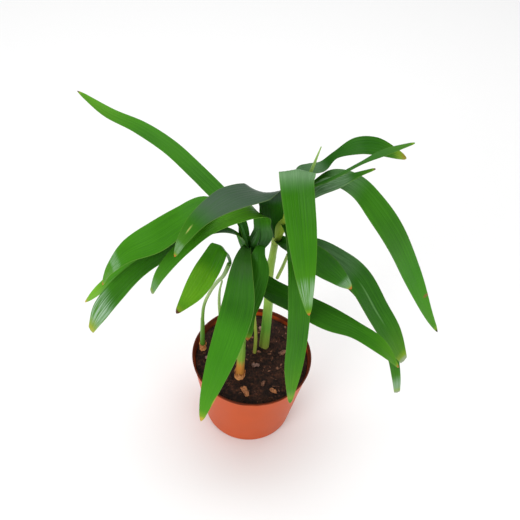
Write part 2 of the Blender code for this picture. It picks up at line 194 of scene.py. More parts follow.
LOBES = {
    "far_left": Lobe("rachis_left", 0.06, 7.5, [
        (-14, -17.5, 251, 8.5), (-17.3, -16, 262, 9.5), (-22.5, -12, 269.5, 11),
        (-33.5, -6, 275.2, 15), (-50.5, 4, 284.9, 15), (-71, 16.5, 294.5, 14),
        (-94, 29.5, 299.2, 13.3), (-119, 43, 299, 10.5), (-143, 56, 306, 2)],
        (UMBER, 0.006), 0.55),
    "left_broad": Lobe("rachis_left", 0.85, 4, [
        (-23.5, -15.5, 268, 8), (-39.8, -22.5, 276.3, 20.3), (-55, -33, 273, 25.5),
        (-72.5, -40, 261, 28), (-92, -47, 251.5, 19.5), (-104, -52, 237.5, 10.5),
        (-110, -55, 223, 3)],
        (RUST, 0.012), 0.75, (0, 5), wave=0.4),
    "left_low": Lobe("stem_front", 0.985, 5, [
        (-17, -24, 253, 6.5), (-36, -30, 262, 10), (-60, -39, 251.5, 16.2), (-81, -48, 239, 15.5),
        (-99, -54, 218.6, 17.2), (-113, -59, 197, 15.5), (-121, -62, 177, 6)],
        (OLIVE, 0.03), 0.45, (-25, -10, -8, -10, 5, 15, 22, 25), blunt=1),
    "left_narrow": Lobe("stem_front", 0.88, 4, [
        (-15, -20, 239, 4), (-21, -22, 254, 5), (-42, -27, 257, 7), (-70, -31, 241, 10),
        (-98, -35, 218, 13), (-118, -39, 197, 11), (-129, -41, 184, 3)],
        (STRAW, 0.02), 0.95, (-40, -45, -40, -20, 0, 0, 0, 0), wave=0.2),
    "left_over": Lobe("rachis_rear", 0.12, 10, [
        (5.5, 0, 251, 17), (5.5, -4, 267.5, 20), (3.5, -7, 279.5, 24.5), (-6.5, -15, 287.5, 27),
        (-24, -31, 294.5, 24), (-41, -47, 290.5, 15.5), (-52, -58, 279.5, 8), (-57, -63, 268, 3)],
        (RUST, 0.012), -0.05, (-45, -47, -50, -48, -12, 0, 0, 0, 0), wave=1.0),
    "left_arched": Lobe("rachis_arched", 0.06, 13, [
        (-0.6, -15, 243, 15.5), (-1.3, -13.5, 254, 13), (-4, -13, 266.5, 19),
        (-16, -20, 273.5, 20), (-37, -36.5, 272, 13),
        (-54, -47, 259, 13.5), (-67, -59, 245, 11), (-74, -62, 227, 4)],
        (PALE, 0.01), 0.8, (-50, -52, -42, -12, 4, 10, 0, 0, 0), blunt=1),
    "left_short": Lobe("stem_left", 1.0, 3, [
        (-24.5, -9, 212, 5), (-27, -12, 223.5, 8), (-31, -17.5, 232.8, 15.5), (-38, -28, 219, 20.5),
        (-47, -39, 205, 17.5), (-58.5, -51, 192.5, 3)],
        (UMBER, 0.02), 1.1, fold=CROWNED),
    "front_left": Lobe("stem_front", 0.95, 6, [
        (-10.5, -25, 242, 5.5), (-12, -34, 240.5, 12), (-12.3, -43, 231, 18.5),
        (-13, -55, 212, 24.5), (-18, -65, 188, 24), (-24, -75, 165, 20),
        (-31, -85, 136, 12), (-35, -92, 113, 3)],
        (STRAW, 0.02), 0.36),
    "front_left_under": Lobe("stem_front", 0.94, 5, [
        (-0.5, -24, 245, 5), (-1.5, -32, 241.5, 10.5), (-0.5, -38, 231, 15.5), (-3, -45, 214, 15.5),
        (-6, -51, 199, 12.5), (-5, -56, 186, 9), (-4, -59, 178, 3)],
        (RUST, 0.04), 0.35, fold=CROWNED),
    "front": Lobe("rachis_rear", 0.62, 7, [
        (20, -2, 272, 13), (20, -4, 293, 22), (19.9, -8.5, 306, 25), (21.2, -20.5, 300.5, 24),
        (27.7, -37, 268, 20.3), (33, -51, 240, 13), (38, -61, 216, 3)],
        (RUST, 0.01), 0.58, (0, 3, 6, 7, 4, 0, 0, 0), CROWNED),
    "front_under": Lobe("rachis_rear", 0.36, 5, [
        (22, -14, 243, 10), (27, -36, 239, 15), (31, -45, 210, 17), (33, -51, 175, 16.5),
        (33, -56, 141, 14), (34, -62, 103, 3)],
        (GREEN, 0.02), 0.45),
    "right_low": Lobe("stem_front", 0.68, 8, [
        (5, -25, 198, 20), (32, -31, 191.5, 22), (56, -38, 185.2, 23), (76, -42, 180, 17.5),
        (97, -47, 169, 15), (114, -52, 151, 3)],
        (RUST, 0.012), 0.42, wave=0.5),
    "right": Lobe("rachis_right", 1.0, 6, [
        (35, -5, 227, 16), (58, -12, 221, 21), (75.3, -17, 207.5, 23.5), (92.2, -22, 181, 22.5),
        (108, -26, 157, 20), (123, -30, 130, 7)],
        (PALE, 0.02), 0.15, (-5, -30), CREASED, 0.4, 1),
    "right_short": Lobe("rachis_rear", 0.06, 8, [
        (30.8, -12.5, 231.5, 19.7), (48, -21.8, 225.3, 22.4), (60, -30, 222, 14),
        (68, -36, 220, 3)],
        (RUST, 0.03), 0.3, wave=0.4),
    "right_under": Lobe("rachis_right", 0.82, 5, [
        (44, -2, 209, 9), (74, -10, 192, 9), (97, -17, 164, 11), (112, -23, 135, 10),
        (121, -28, 106, 8), (126, -29, 83, 5)],
        (PALE, 0.02), 0.3, (-10, -60), blunt=1),
    "far_right": Lobe("rachis_rear", 0.73, 6, [
        (36, 14, 271, 9), (48, 14, 281, 13), (65, 9, 278, 18), (83.5, 5, 258.3, 22),
        (101, 4, 232, 22), (120, 5, 194, 18), (139.5, 5, 153, 9.5), (154, 6, 126, 2)],
        (BLACK, 0.014), 0.6, (-15, -50)),
    "back_right": Lobe("rachis_rear", 0.98, 4, [
        (23, 12, 286, 7), (30, 16.5, 285, 10), (38.5, 20, 285.8, 9), (47, 25, 293.2, 6),
        (61.5, 29, 299.5, 13.8), (77, 36, 295, 15.5), (91, 40, 287, 9.5), (101, 44, 280, 3)],
        (OCHRE, 0.05), -0.05, (0, -5, -8, -12, -17, -22, -26, -30)),
    "back_right_narrow": Lobe("rachis_rear", 0.9, 2.5, [
        (34, 5, 280, 2.5), (47, 1, 293.8, 3), (64, 7, 303.4, 3.2), (80, 16, 307, 6.5),
        (100, 23, 312, 2)],
        (GREEN, 0.01), 0.3, wave=0.1),
    "back_right_small": Lobe("rachis_rear", 0.8, 4, [
        (31, 5, 270, 8), (40, 5, 280, 13), (52, 5, 286.5, 10), (64, 6, 294, 5),
        (74, 6, 300, 2)],
        (UMBER, 0.02), 0.15, (-30, 0)),
}

SPEAR_PATH = [(27.3, 8.6, 279.8), (30.3, 10, 290), (35, 12.5, 310)]
SPEAR_RADII = (1.2, 1.1, 0.4)
SPEAR_TONES = [(0, "6f9a40"), (0.5, "93bb5a"), (1, "a3c46c")]

# Dry husks, each round the foot of a stem, and what they measure in millimetres.
HUSKS = {"husk_left": "stem_left", "husk_front": "stem_front"}
HUSK_HEIGHT, HUSK_TEAR, HUSK_WALL = 7.0, 4.5, 0.3

# Bark chips on the peat: place in X and Y, length, width, turn.
Chip = namedtuple("Chip", "x y length width turn")
CHIPS = [
    Chip(-3, -36, 9.5, 4.8, -60), Chip(4, -8, 6, 4, 20), Chip(12, -26, 5, 3, 70),
    Chip(21, -33, 6, 3, -30), Chip(-38, -4, 5, 3.5, 10), Chip(27, 8, 7, 4, 35),
    Chip(-16, 26, 6, 3, 120), Chip(8, 34, 7, 3.5, 15), Chip(-30, -24, 5, 3, 80),
    Chip(34, -14, 6, 3, 100),
]
CHIP_HEIGHT = 1.6

# rings that the peat's top is cut into, and their width in millimetres
PEAT_RINGS, PEAT_RING = 54, 0.9
# shapes that the crumbs and the bark bits are copied from
LUMP_SHAPES = 6

# How many steps an axis is measured in, and how many rows and columns of faces a piece has along and
# round or across it.
AXIS_STEPS = 40
STEM_GRID, AXIS_GRID, SPEAR_GRID = (150, 40), (80, 36), (60, 32)
FIBRE_GRID, HUSK_GRID = (8, 5), (30, 60)
LOBE_ROWS, COLUMNS_PER_RIB = 140, 4
# flutes round a stem, and their depth as a share of its radius
FLUTES, FLUTE_DEPTH = 7, 0.025
# how far a sheath's end slants and how soon it steps in, as shares of a stem's length
SCAR_SLANT, SCAR_WIDTH = 0.02, 0.012
# how round the crease along a midrib is, as a share of the half width
CREASE_ROUND = 0.08
# how many times a ruffled edge goes up and down along a lobe
RUFFLES = 2.3
# the share of its length over which a lobe rounds off
POINTED_TIP, BLUNT_TIP = 0.04, 0.012

CAMERA_PLACE = (-0.0002, -0.4408, 0.6868)


# ---------------------------------------------------------------- settings

def length_property(name, description, millimetres):
    return FloatProperty(name=name, description=description, default=millimetres * MM, min=0,
                         subtype="DISTANCE", unit="LENGTH")


def colour_property(name, description, hex_colour):
    return FloatVectorProperty(name=name, description=description, subtype="COLOR", size=4, min=0,
                               max=1, default=to_linear(hex_colour))


def angle_property(name, description, degrees):
    return FloatProperty(name=name, description=description, default=radians(degrees),
                         subtype="ANGLE", unit="ROTATION")


def power_property(name, watts):
    return FloatProperty(name=name + " light", description=f"Power of the {name} softbox in watts",
                         default=watts, min=0)


class PotSettings(bpy.types.PropertyGroup):
    base_radius: length_property("Base radius", "Radius of the pot's underside", 39)
    wall: length_property("Wall", "Thickness of the moulded wall", 1.5)
    floor: length_property("Floor", "Thickness of the pot's floor", 2)
    lip_height: length_property("Lip height", "Height of the rolled lip", 3)
    lip_step: length_property("Lip step", "How far the lip stands out from the wall", 0.6)
    drain_radius: length_property("Drain radius", "Radius of each drain hole", 4)
    drain_ring: length_property("Drain ring", "Radius of the ring of drain holes", 24)
    drain_count: IntProperty(name="Drain holes", description="Number of drain holes", default=6, min=1)
    colour: colour_property("Plastic", "Colour of the moulded plastic", "c64f13")


class SoilSettings(bpy.types.PropertyGroup):
    lumps: length_property("Lumps", "Height of the lumps in the peat's surface", 1.6)
    crumb: length_property("Crumb size", "Size of the largest crumb", 2.8)
    crumbs: IntProperty(name="Crumbs", description="Number of loose crumbs", default=1500, min=0)
    fragments: IntProperty(name="Bark bits", description="Number of small bark bits", default=45,
                           min=0)
    fibres: IntProperty(name="Fibres", description="Number of loose fibres", default=24, min=0)
    seed: IntProperty(name="Seed", description="Seed of the crumbs' places", default=7)
    dark: colour_property("Wet peat", "Colour of the wet peat", "190d09")
    light: colour_property("Dry peat", "Colour of the drier crumbs", "623b29")
    bark: colour_property("Bark", "Colour of the bark chips", "8a5b42")


class LeafSettings(bpy.types.PropertyGroup):
    thickness: length_property("Thickness", "Thickness of a blade", 0.35)
    rib: length_property("Rib spacing", "Distance between two ribs where a blade is widest", 2.8)
    pleat: length_property("Pleat", "Depth of the pleats between the ribs", 0.09)
    dark: colour_property("Dark green", "Colour of the oldest and shaded blades", "1c520a")
    bright: colour_property("Bright green", "Colour of the youngest blades", "3f8410")
    under: colour_property("Underside", "Colour of a blade's underside", "466a24")


class StageSettings(bpy.types.PropertyGroup):
    floor_size: length_property("Floor size", "Width of the floor", 6000)
    focal: FloatProperty(name="Focal length", description="Focal length of the camera in millimetres",
                         default=58.78, min=1)
    pitch: angle_property("Pitch", "How far down the camera looks", 47.66)
    roll: angle_property("Roll", "How far the camera is turned about its own axis", 5)
    overhead: power_property("Overhead", 17)
    key: power_property("Key", 12.5)
    fill: power_property("Fill", 5)
    ambient: FloatProperty(name="Ambient", description="Strength of the room's light", default=0.5,
                           min=0)


# ---------------------------------------------------------------- lines and sections

def spline_points(path, count):
    """Points of a smooth curve through every point of the path, in millimetres."""
    points = [Vector(p) for p in path]
    points = [2 * points[0] - points[1], *points, 2 * points[-1] - points[-2]]
    spans = len(points) - 3
    smooth_points = []
    for k in range(count + 1):
        place = min(k / count * spans, spans - 1e-9)
        i = int(place)
        t = place - i
        a, b, c, d = points[i:i + 4]
        smooth_points.append(0.5 * (2 * b + (c - a) * t + (2 * a - 5 * b + 4 * c - d) * t ** 2
                                    + (3 * b - a - 3 * c + d) * t ** 3))
    return smooth_points


def blend_list(values, share):
    """The value at a share of the way along an evenly spaced list."""
    place = min(max(share, 0), 1) * (len(values) - 1)
    i = min(int(place), len(values) - 2)
    return values[i] + (values[i + 1] - values[i]) * (place - i)


def smoothstep(low, high, value):
    t = min(max((value - low) / (high - low), 0), 1)
    return t * t * (3 - 2 * t)


def shares_of(points):
    """How far along its own length each point of a line lies, from 0 to 1."""
    lengths = [0.0]
    for a, b in zip(points, points[1:]):
        lengths.append(lengths[-1] + (b - a).length)
    return [length / lengths[-1] for length in lengths]


def lobe_stations(lobe):
    """The stations of a lobe, the first of them its foot, just clear of its carrier."""
    axis = AXES[lobe.carrier]
    points = spline_points(axis.path, AXIS_STEPS)
    i = min(int(lobe.at * AXIS_STEPS), AXIS_STEPS - 1)
    point = points[i].lerp(points[i + 1], lobe.at * AXIS_STEPS - i)
    along = (points[i + 1] - points[i]).normalized()
    x, y, _, _ = lobe.path[0]
    toward = Vector((x - point.x, y - point.y, 0)).normalized()
    # a lobe on the carrier's very end stands beyond it, and any other stands at its side
    if lobe.at == 1.0:
        foot = point + along * 2 * GAP + toward * GAP
    else:
        side = (toward - along * toward.dot(along)).normalized()
        foot = point + side * (blend_list(axis.radii, lobe.at) + GAP)
    return [(*foot, lobe.base), *lobe.path]


def line_frames(points, side=None):
    """A side direction at each point of a line, carried along it without twist."""
    side = side or (points[1] - points[0]).orthogonal()
    sides = []
    for k, point in enumerate(points):
        ahead = points[min(k + 1, len(points) - 1)] - points[max(k - 1, 0)]
        side = (side - ahead * (side.dot(ahead) / ahead.length_squared)).normalized()
        sides.append((side, ahead.normalized().cross(side)))
    return sides


# ---------------------------------------------------------------- pieces

def set_mode(mode):
    bpy.ops.object.mode_set(mode=mode)


def start_piece():
    """Nothing is selected before a piece is begun, because the frame's nodes come in selected."""
    if bpy.context.mode != "OBJECT":
        set_mode("OBJECT")
    bpy.ops.object.select_all(action="DESELECT")


def select_only(*pieces):
    start_piece()
    for piece in pieces:
        piece.select_set(True)
    bpy.context.view_layer.objects.active = pieces[0]


def settle(piece):
    """Puts a piece's place, turn and size into its mesh."""
    select_only(piece)
    bpy.ops.object.transform_apply(location=True, rotation=True, scale=True)


def pick(piece, kind, test):
    """In edit mode, selects only the vertices, edges or faces that pass the test."""
    bpy.ops.mesh.select_all(action="DESELECT")
    bpy.ops.mesh.select_mode(type=kind)
    set_mode("OBJECT")
    mesh = piece.data
    for part in {"VERT": mesh.vertices, "EDGE": mesh.edges, "FACE": mesh.polygons}[kind]:
        part.select = test(part)
    set_mode("EDIT")


def looks_up(face):
    return face.normal.z > 0.9


def apply_modifiers(piece):
    select_only(piece)
    for modifier in list(piece.modifiers):
        bpy.ops.object.modifier_apply(modifier=modifier.name)


def thicken(piece, thickness, **settings):
    """Gives a sheet its thickness, in metres."""
    wall = piece.modifiers.new("thickness", "SOLIDIFY")
    wall.thickness = thickness
    for key, value in settings.items():
        setattr(wall, key, value)
    apply_modifiers(piece)


def joined(name, pieces):
    """Makes several pieces one."""
    select_only(*pieces)
    bpy.ops.object.join()
    piece = bpy.context.object
    piece.name = name
    return piece


def finish_piece(piece, degrees, materials, slot, *nodes):
    """Shades the finished piece smooth up to an angle between faces, gives it its materials, and has it
    ride on the plant's one body and stand for its solids."""
    select_only(piece)
    bpy.ops.object.shade_smooth_by_angle(angle=radians(degrees))
    piece.data.materials.clear()
    for material in materials:
        piece.data.materials.append(material)
    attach(piece, BODY)
    if nodes:
        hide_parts(*nodes)


def laid_grid(name, rows, columns, place):
    """A grid whose corners are laid out by place(along, across), both from 0 to 1, in millimetres."""
    start_piece()
    bpy.ops.mesh.primitive_grid_add(x_subdivisions=rows, y_subdivisions=columns, size=2, calc_uvs=True)
    piece = bpy.context.object
    piece.name = name
    piece.data.name = name
    for vertex in piece.data.vertices:
        vertex.co = place((vertex.co.x + 1) / 2, (vertex.co.y + 1) / 2) * MM
    return piece


def close_round(piece, ends):
    """Joins a grid's two long edges where it is rolled up, and closes its ends too where told."""
    select_only(piece)
    set_mode("EDIT")
    bpy.ops.mesh.select_all(action="SELECT")
    bpy.ops.mesh.remove_doubles(threshold=0.00001)
    if ends:
        bpy.ops.mesh.fill_holes(sides=0)
        bpy.ops.mesh.select_all(action="SELECT")
    bpy.ops.mesh.normals_make_consistent(inside=False)
    set_mode("OBJECT")


def laid_tube(name, path, radius_at, grid, spread=None):
    """A closed tube along a smooth path, its radius given by radius_at(along, angle). A spread list
    makes it wider than thick, across the plant's front."""
    rows, columns = grid
    points = spline_points(path, rows)
    frames = line_frames(points, Vector((1, 0, 0)) if spread else None)
    shares = shares_of(points)

    def place(along, across):
        row = round(along * rows)
        angle = 2 * pi * across
        side, up = frames[row]
        wide = blend_list(spread, shares[row]) if spread else 1
        outward = side * wide * cos(angle) + up * sin(angle)
        return points[row] + outward * radius_at(shares[row], angle)

    tube = laid_grid(name, rows, columns, place)
    close_round(tube, ends=True)
    return tube


# ---------------------------------------------------------------- materials

# A kind of node: its Blender type and settings, the inputs that values go to in order, and the output
# that it gives, or None for all of them.
Kind = namedtuple("Kind", "type settings inputs output", defaults=[{}, range(5), 0])
KINDS = {
    "uv": Kind("ShaderNodeUVMap", {"uv_map": "UVMap"}),
    "object": Kind("ShaderNodeTexCoord", output="Object"),
    "separate": Kind("ShaderNodeSeparateXYZ", output=None),
    "combine": Kind("ShaderNodeCombineXYZ"),
    "length": Kind("ShaderNodeVectorMath", {"operation": "LENGTH"}, output="Value"),
    "noise": Kind("ShaderNodeTexNoise"),
    "noise_2d": Kind("ShaderNodeTexNoise", {"noise_dimensions": "2D"}),
    "noise_1d": Kind("ShaderNodeTexNoise", {"noise_dimensions": "1D"}),
    "ramp": Kind("ShaderNodeValToRGB"),
    # takes a value from one range to another by a soft step, and holds it at the ends
    "range": Kind("ShaderNodeMapRange", {"interpolation_type": "SMOOTHSTEP"}),
    "mix": Kind("ShaderNodeMix", {"data_type": "RGBA"}, (0, 6, 7), 2),
    "bump": Kind("ShaderNodeBump"),
    "shader": Kind("ShaderNodeBsdfPrincipled"),
    "surface": Kind("ShaderNodeOutputMaterial", output=None),
    "clamped_add": Kind("ShaderNodeMath", {"operation": "ADD", "use_clamp": True}),
    **{name: Kind("ShaderNodeMath", {"operation": name.upper()})
       for name in ("add", "subtract", "multiply", "divide", "power", "sine", "absolute")},
}


def add_node(tree, kind, *values, **named):
    """Adds a node with its settings, sets or links its inputs, in order or by name, and gives its
    output. A colour may be given in hex."""
    kind = KINDS[kind]
    node = tree.nodes.new(kind.type)
    for key, value in kind.settings.items():
        setattr(node, key, value)
    inputs = [*zip(kind.inputs, values)]
    inputs += [(key.replace("_", " "), value) for key, value in named.items()]
    for key, value in inputs:
        if isinstance(value, bpy.types.NodeSocket):
            tree.links.new(value, node.inputs[key])
        else:
            node.inputs[key].default_value = to_linear(value) if isinstance(value, str) else value
    return node.outputs if kind.output is None else node.outputs[kind.output]


def new_material(name):
    """A bare material, and what adds a node to it."""
    material = bpy.data.materials.new(name)
    material.use_nodes = True
    material.node_tree.nodes.clear()
    return material, partial(add_node, material.node_tree)


def blade_material(name, lobe, zones, mark, ribs, leaf, upper=True):
    """Living palm leaf, waxy: fine parallel ribs and veins that run its whole length, a faint gloss
    with zones of painted sheen, painted highlights, painted shade and painted light along it, a
    brighter green towards the tip, and a dry tip."""
    material, node = new_material(name)
    along, across, _ = node("separate", node("uv"))
    # broad patches, about 30 mm
    patches = node("noise", node("object"), Scale=33.0, Detail=2.0, Roughness=0.5)
    # streaks between the ribs, a third of a rib wide and some 30 mm long
    stretched = node("combine", node("multiply", along, 5.0), node("multiply", across, ribs * 3.0))
    streaks = node("noise_2d", stretched, Scale=1.0, Detail=3.0, Roughness=0.6)
    # the veins: a thin pale line on both slopes of each pleat
    wave = node("sine", node("multiply", across, ribs * 2 * pi))
    vein = node("power", node("absolute", wave), 6.0)
    if upper:
        tone = node("clamped_add", lobe.tone * 0.75 - 0.32,
                    node("add", node("multiply", streaks, 0.65),
                         node("range", along, 0.35, 1.0, 0.0, 0.35)))
        tone = node("clamped_add", tone, node("multiply", node("subtract", patches, 0.5), 0.5))
        green = node("mix", tone, leaf.dark, leaf.bright)
        # darker at the foot, yellower towards the tip
        green = node("mix", node("range", along, 0.0, 0.28, 0.6, 0.0), green, leaf.dark)
        green = node("mix", node("range", along, 0.75, 1.0, 0.0, 0.25), green, "7db52c")
    else:
        green = node("mix", node("multiply", streaks, 0.5), leaf.under, leaf.bright)
    # each rib is a little lighter or darker than the next
    bands = node("noise_1d", W=node("multiply", across, ribs * 1.3), Scale=1.0, Detail=2.0,
                 Roughness=0.6)
    green = node("mix", node("range", bands, 0.3, 0.7, 0.22, 0.0), green, leaf.dark)
    green = node("mix", node("multiply", vein, node("multiply", bands, 0.07)), green, "6f9c38")
    # the zones from ZONES: painted sheen, painted highlights, painted shade and painted light, and
    # greener, yellower or darker green
    for low, high, strength, zone_colour, even in zones if upper else ():
        soft = min(0.12, (high - low) / 3)
        zone = node("multiply", node("range", along, low, low + soft),
                    node("range", along, high - soft, high, 1.0, 0.0))
        zone = node("multiply", zone, node("range", streaks, 0.4, 0.65, even, 1.0))
        green = node("mix", node("multiply", zone, strength), green, zone_colour)
    # the margin is a thin paler line
    edge = node("absolute", node("subtract", across, 0.5))
    green = node("mix", node("range", edge, 0.475, 0.5, 0.0, 0.2), green, "8fb04e")
    # a small mark: a dry or bruised spot, or on "right" a painted highlight along the crease
    if mark:
        at, side, long, wide, mark_colour = mark
        away = node("length", node("combine", node("divide", node("subtract", along, at), long),
                                   node("divide", node("subtract", across, side), wide)))
        away = node("add", away, node("multiply", streaks, 0.8))
        green = node("mix", node("range", away, 0.7, 1.5, 0.75, 0.0), green, mark_colour)
    # the dry tip, reached through yellow
    dry_colour, dry = lobe.tip
    ragged = node("add", along, node("multiply", node("subtract", streaks, 0.5), dry * 1.4))
    yellow = node("range", ragged, 1 - dry * 3.2, 1 - dry * 1.1, 0.0, 0.5)
    green = node("mix", yellow, green, "93a82a")
    green = node("mix", node("range", ragged, 1 - dry * 1.5, 1 - dry * 0.6), green, dry_colour)
    height = node("add", node("multiply", vein, 0.6), node("multiply", streaks, 0.8))
    rough = node("range", patches, 0.3, 0.7, 0.3, 0.38) if upper else 0.45
    node("surface", node("shader", Base_Color=green, Roughness=rough, IOR=1.45, Specular_IOR_Level=0.1,
                         Normal=node("bump", Strength=0.3, Distance=0.3 * MM, Height=height)))
    return material


def sheath_material(name, tones, ribs):
    """Living leaf sheath, smooth and slightly waxy, with fine lines along it: its colour changes from
    dry husk at the foot through green to yellow-green."""
    material, node = new_material(name)
    along, across, _ = node("separate", node("uv"))
    stretched = node("combine", node("multiply", along, 7.0),
                     node("sine", node("multiply", across, 2 * pi * ribs)))
    streaks = node("noise_2d", stretched, Scale=1.5, Detail=3.0, Roughness=0.6)
    ragged = node("add", along, node("multiply", node("subtract", streaks, 0.5), 0.06))
    ramp = node("ramp", ragged)
    stops = ramp.node.color_ramp.elements
    while len(stops) < len(tones):
        stops.new(0.5)
    for stop, (share, _) in zip(stops, tones):
        stop.position = share
    for stop, (_, hex_colour) in zip(stops, tones):
        stop.color = to_linear(hex_colour)
    colour = node("mix", node("multiply", streaks, 0.35), ramp, "3c6b22")
    node("surface", node("shader", Base_Color=colour, Roughness=0.42, IOR=1.45, Specular_IOR_Level=0.3,
                         Normal=node("bump", Strength=0.4, Distance=0.3 * MM, Height=streaks)))
    return material


def pot_material(pot):
    """Polypropylene, injection-moulded: one through-colour with a satin skin, and faint flow marks.
    Inside and over its lip it is dark brown, less at the front than at the sides and the back: painted
    shade on the inner wall and the lip, together with dried peat."""
    material, node = new_material("moulded_polypropylene")
    place = node("object")
    # flow marks, about 20 mm long
    flow = node("noise", place, Scale=50.0, Detail=2.0, Roughness=0.5)
    # the mould's fine texture, a quarter of a millimetre, drawn at 0.7 mm so that it shows
    grain = node("noise", place, Scale=1400.0, Detail=1.0, Roughness=0.5)
    colour = node("mix", node("range", flow, 0.3, 0.7, 0.0, 0.18), pot.colour, "b04a1c")
    x, y, z = node("separate", place)
    # how far a point lies inside the middle of the wall
    top, height = POT_TOP.x, POT_TOP.z
    slope = (top - pot.lip_step - pot.base_radius) / height
    middle = node("add", pot.base_radius - pot.wall / 2, node("multiply", z, slope))
    inside = node("subtract", middle, node("length", node("combine", x, y)))
    # the painted shade and peat reach over the lip, less at the front
    lip = node("multiply", node("range", z, height - 3.4 * MM, height - 1.6 * MM, 0.0, 2.6 * MM),
               node("range", y, -38 * MM, -16 * MM, 0.55, 1.0))
    ragged = node("multiply", node("subtract", flow, 0.5), 1.5 * MM)
    # painted shade on the inner wall and the lip, together with dried peat: dark brown and rougher
    # there
    peat_and_shade = node("range", node("add", node("add", inside, lip), ragged), -0.2 * MM, 0.5 * MM, 0.0, 0.9)
    node("surface", node("shader", Base_Color=node("mix", peat_and_shade, colour, "3b1b12"),
                         Roughness=node("add", 0.42, node("multiply", peat_and_shade, 0.4)), IOR=1.49,
                         Specular_IOR_Level=0.12,
                         Normal=node("bump", Strength=0.12, Distance=0.1 * MM, Height=grain)))
    return material


def peat_material(name, soil, lightness):
    """Sphagnum peat, moist: near black where wet, browner on the drier crumbs, and not shiny."""
    material, node = new_material(name)
    place = node("object")
    # crumbs of about 2 mm with dust of 0.4 mm, in patches of 6 mm
    crumbs = node("noise", place, Scale=500.0, Detail=4.0, Roughness=0.65)
    patches = node("noise", place, Scale=170.0, Detail=2.0, Roughness=0.5)
    dryness = node("add", node("multiply", crumbs, 0.6), node("multiply", patches, 0.5))
    colour = node("mix", node("range", dryness, 0.45, 0.75, 0.0, lightness), soil.dark, soil.light)
    node("surface", node("shader", Base_Color=colour, Roughness=0.9, Specular_IOR_Level=0.25,
                         Normal=node("bump", Strength=0.8, Distance=0.8 * MM, Height=crumbs)))
    return material


def bark_material(name, dark, light):
    """Pine bark, coir or dry husk, torn: two browns that follow its fibres, and no shine."""
    material, node = new_material(name)
    place = node("object")
    # fibres about 1.4 mm apart, in patches of 6 mm
    fibres = node("noise", place, Scale=700.0, Detail=3.0, Roughness=0.6)
    patches = node("noise", place, Scale=160.0, Detail=1.0, Roughness=0.5)
    tone = node("add", node("multiply", fibres, 0.6), node("multiply", patches, 0.4))
    colour = node("mix", node("range", tone, 0.35, 0.65), dark, light)
    node("surface", node("shader", Base_Color=colour, Roughness=0.85,
                         Normal=node("bump", Strength=0.6, Distance=0.4 * MM, Height=fibres)))
    return material


# ---------------------------------------------------------------- operators

class PALM_OT_add_pot(bpy.types.Operator):
    """Add the thin tapered nursery pot, with its rolled lip and drain holes"""
    bl_idname = "palm.add_pot"
    bl_label = "Pot"

    def execute(self, context):
        pot = context.scene.palm_pot
        top, height = POT_TOP.x, POT_TOP.z
        wall_top = top - pot.lip_step
        lip_foot = height - pot.lip_height
        start_piece()
        bpy.ops.mesh.primitive_cone_add(vertices=144, radius1=pot.base_radius, radius2=wall_top,
                                        depth=height, end_fill_type="NGON",
                                        location=(0, 0, height / 2))
        piece = context.object
        piece.name = "nursery_pot"
        settle(piece)
        set_mode("EDIT")
        # the lip: the wall is parted just under it, and all above is pushed out
        for level in (lip_foot - 0.7 * MM, lip_foot):
            bpy.ops.mesh.select_all(action="SELECT")
            bpy.ops.mesh.bisect(plane_co=(0, 0, level), plane_no=(0, 0, 1))
        pick(piece, "VERT", lambda v: v.co.z > lip_foot - 0.1 * MM)
        grow = top / wall_top
        bpy.ops.transform.resize(value=(grow, grow, 1), center_override=(0, 0, 0))
        # the inside: the top is inset by the wall and drawn down to the floor
        pick(piece, "FACE", looks_up)
        bpy.ops.mesh.inset(thickness=pot.wall)
        bpy.ops.mesh.extrude_region_move(TRANSFORM_OT_translate={"value": (0, 0, pot.floor - height)})
        inner = pot.base_radius - pot.wall
        shrink = inner / (top - pot.wall)
        bpy.ops.transform.resize(value=(shrink, shrink, 1), center_override=(0, 0, 0))
        # soft edges: the foot, the floor's corner and the two edges of the lip
        for level, radius, width, segments in ((0, pot.base_radius, 1.6, 4), (pot.floor, inner, 2, 3),
                                               (height, top, 0.7, 4),
                                               (height, top - pot.wall, 0.6, 4)):
            def on_ring(edge):
                ends = [piece.data.vertices[i].co for i in edge.vertices]
                return all(abs(e.z - level) < 0.05 * MM
                           and abs(hypot(e.x, e.y) - radius) < 0.2 * MM for e in ends)

            pick(piece, "EDGE", on_ring)
            bpy.ops.mesh.bevel(offset=width * MM, segments=segments)
        for k in range(pot.drain_count):
            angle = 2 * pi * (k + 0.5) / pot.drain_count
            start_piece()
            bpy.ops.mesh.primitive_cylinder_add(
                vertices=32, radius=pot.drain_radius, depth=4 * pot.floor,
                location=(pot.drain_ring * cos(angle), pot.drain_ring * sin(angle), pot.floor / 2))
            drill = context.object
            hole = piece.modifiers.new("drain_hole", "BOOLEAN")
            hole.operation = "DIFFERENCE"
            hole.object = drill
            apply_modifiers(piece)
            bpy.data.objects.remove(drill)
        finish_piece(piece, 40, [pot_material(pot)], "terracotta_plastic", "pot")
        return {"FINISHED"}


def peat_height(x, y, lumps):
    """How far the peat's surface stands above its mean level, in metres: lumps of about 11 mm, and
    crumbs of 2.4 mm on them."""
    place = Vector((x, y, 0)) / MM
    low = noise.fractal(place / 11, 0.8, 2.0, 3)
    fine = noise.fractal(place / 2.4 + Vector((9, 4, 2)), 0.7, 2.0, 3)
    return lumps * (0.45 * low + 0.4 * fine)


